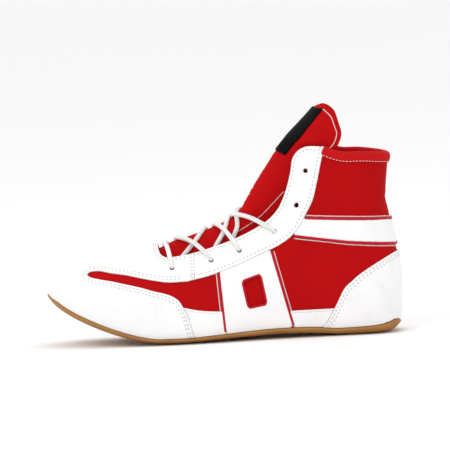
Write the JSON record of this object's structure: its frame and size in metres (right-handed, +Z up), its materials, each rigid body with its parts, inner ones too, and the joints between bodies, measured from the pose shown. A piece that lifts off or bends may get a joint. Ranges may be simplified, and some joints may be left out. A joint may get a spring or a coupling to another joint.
{
  "type": "wrestling shoe",
  "caption": "Left high-top wrestling shoe, empty and half laced: red textile upper, white leather overlays, thin gum sole with sprung toe.",
  "frame": {"origin": "on the floor at the middle of the heel's flat rest, under the ankle", "axes": "+Z up, -X towards the toe, +X towards the heel's back, -Y the outer side of the left foot"},
  "size_m": [0.2802, 0.0962, 0.1806],
  "materials": {
    "red_textile": "fine ribbed textile",
    "red_binding": "soft folded tape",
    "white_leather": "smooth, low sheen",
    "gum_rubber": "matt gum",
    "footbed": "matt lining cloth",
    "label": "woven, matt",
    "lace": "round woven lace"
  },
  "bodies": {
    "root": {"ankle_band": "white_leather", "collar_binding": "red_binding", "eyestay_lateral": "white_leather", "eyestay_medial": "white_leather", "foxing_front_lateral": "white_leather", "foxing_front_medial": "white_leather", "foxing_rear_lateral": "white_leather", "foxing_rear_medial": "white_leather", "heel_counter": "white_leather", "insole": "footbed", "lace_bar": "lace", "lace_cross_1": "lace", "lace_cross_2": "lace", "lace_cross_3": "lace", "outsole": "gum_rubber", "saddle_lateral": "white_leather", "saddle_medial": "white_leather", "tongue": "red_textile", "tongue_label": "label", "upper": "red_textile", "vamp": "white_leather"}
  },
  "joints": []
}
